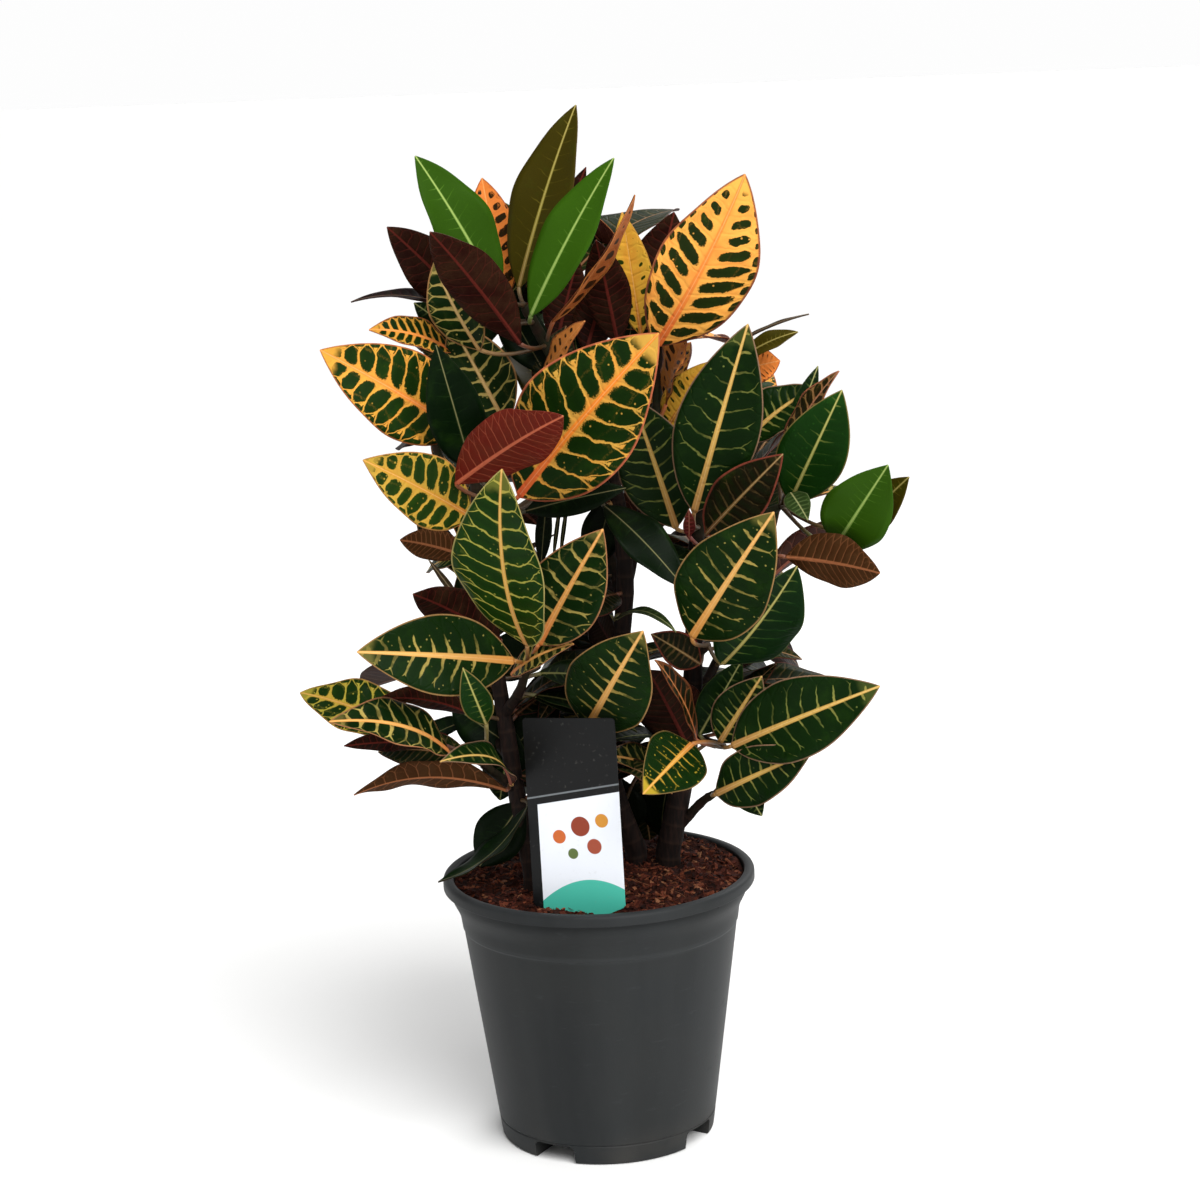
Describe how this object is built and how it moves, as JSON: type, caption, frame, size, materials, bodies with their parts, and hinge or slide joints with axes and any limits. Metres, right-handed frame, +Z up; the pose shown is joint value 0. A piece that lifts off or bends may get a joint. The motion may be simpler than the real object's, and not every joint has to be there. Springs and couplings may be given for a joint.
{
  "type": "potted croton",
  "caption": "Branched croton house plant with variegated leaves on woody stems, in a dark round nursery pot filled with soil, with a plain plant label.",
  "frame": {"origin": "centre of the pot's base, on the floor", "axes": "+Z up along the pot's axis, -Y towards the front, where the plant label stands, +X to the right seen from the front"},
  "size_m": [0.3991, 0.3264, 0.6896],
  "materials": {
    "pot_plastic": "satin charcoal grey, moulded",
    "soil_mix": "rough dark red-brown bark and coir fibre",
    "label_plastic": "glossy printed card in plain panels of charcoal, white and teal",
    "left_foliage": "glossy leathery leaves, dark green with yellow and orange veins",
    "centre_foliage": "glossy leathery leaves, yellow, bronze and green",
    "right_foliage": "glossy leathery leaves, dark green with pale midribs"
  },
  "bodies": {
    "root": {"pot": "pot_plastic", "soil": "soil_mix", "plant_label": "label_plastic", "left_stem": "left_foliage", "centre_stem": "centre_foliage", "right_stem": "right_foliage"}
  },
  "joints": []
}
